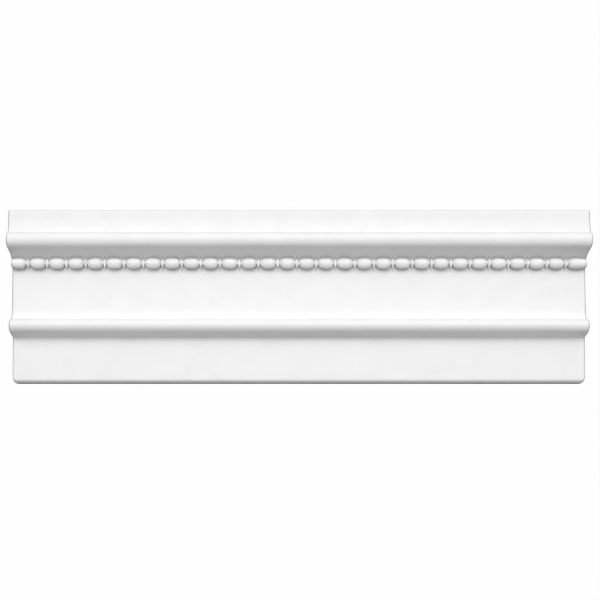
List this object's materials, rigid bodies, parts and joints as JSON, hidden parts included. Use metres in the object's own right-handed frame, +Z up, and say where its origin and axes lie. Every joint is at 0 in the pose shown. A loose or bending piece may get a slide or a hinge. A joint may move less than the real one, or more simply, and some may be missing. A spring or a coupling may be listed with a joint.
{
  "type": "beaded head trim moulding",
  "caption": "Straight cast head trim for a window or door: flared top band, round nose, ogee, bead-and-reel row, frieze, torus and plain fascia, flat at the back and square at the ends.",
  "frame": {"origin": "middle of the flat back face", "axes": "+X along the length, +Y into the wall, +Z up; the moulded face looks towards -Y"},
  "size_m": [0.6096, 0.0424, 0.1842],
  "materials": {
    "white_primer": "smooth factory primer, satin to matte"
  },
  "bodies": {
    "root": {"head_trim_moulding": "white_primer"}
  },
  "joints": []
}
